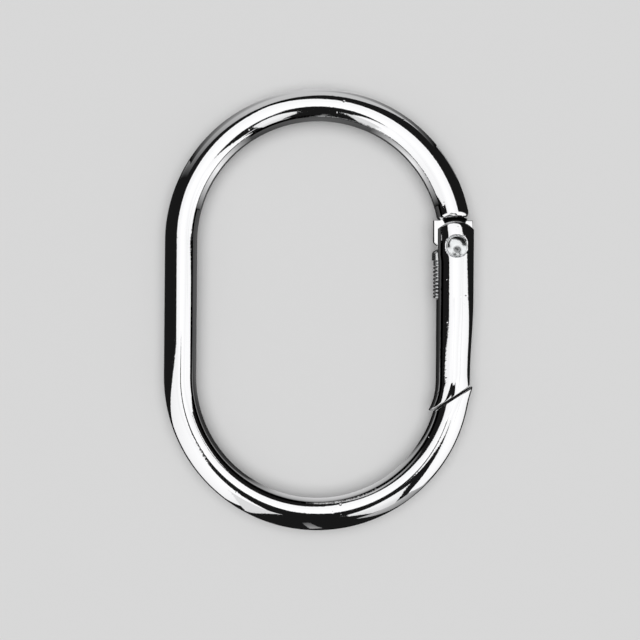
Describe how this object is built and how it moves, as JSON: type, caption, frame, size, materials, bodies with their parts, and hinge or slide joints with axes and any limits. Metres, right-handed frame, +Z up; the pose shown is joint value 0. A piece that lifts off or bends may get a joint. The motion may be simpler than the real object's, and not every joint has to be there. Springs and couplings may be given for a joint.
{
  "type": "oval spring gate ring",
  "caption": "Flat oval ring of round wire with a sprung gate in one long side that swings inward to take a strap, loop or key",
  "frame": {"origin": "under the middle of the whole part's box, on the surface the ring lies on", "axes": "+Y along the oval's length, +X to the gate side, +Z up, square to the ring"},
  "size_m": [0.0408, 0.0582, 0.0057],
  "materials": {
    "plated_ring": "bright chrome plate",
    "plated_gate": "bright chrome plate",
    "plated_rivet": "bright plate, hammered head",
    "steel_plunger": "turned steel",
    "spring_wire": "drawn spring wire"
  },
  "bodies": {
    "ring": {"ring_body": "plated_ring"},
    "gate_arm": {"gate": "plated_gate", "hinge_rivet": "plated_rivet", "coil_spring": "spring_wire"},
    "plunger_slide": {"plunger": "steel_plunger"}
  },
  "joints": [
    {"name": "gate_swing", "type": "hinge", "parent": "ring", "child": "gate_arm", "pos_m": [0.01796, 0.00845, 0.00285], "axis": [0, 0, -1], "range_deg": [0, 32], "stiffness_Nm_per_rad": 0.0045, "springref_deg": -44.69, "deforming": ["coil_spring"]},
    {"name": "plunger_push", "type": "slide", "parent": "gate_arm", "child": "plunger_slide", "axis": [0, -1, 0], "range_m": [0, 0.00095]}
  ],
  "couplings": [
    {"joint": "plunger_push", "follows": "gate_swing", "m_per_rad": 0.0016217}
  ]
}
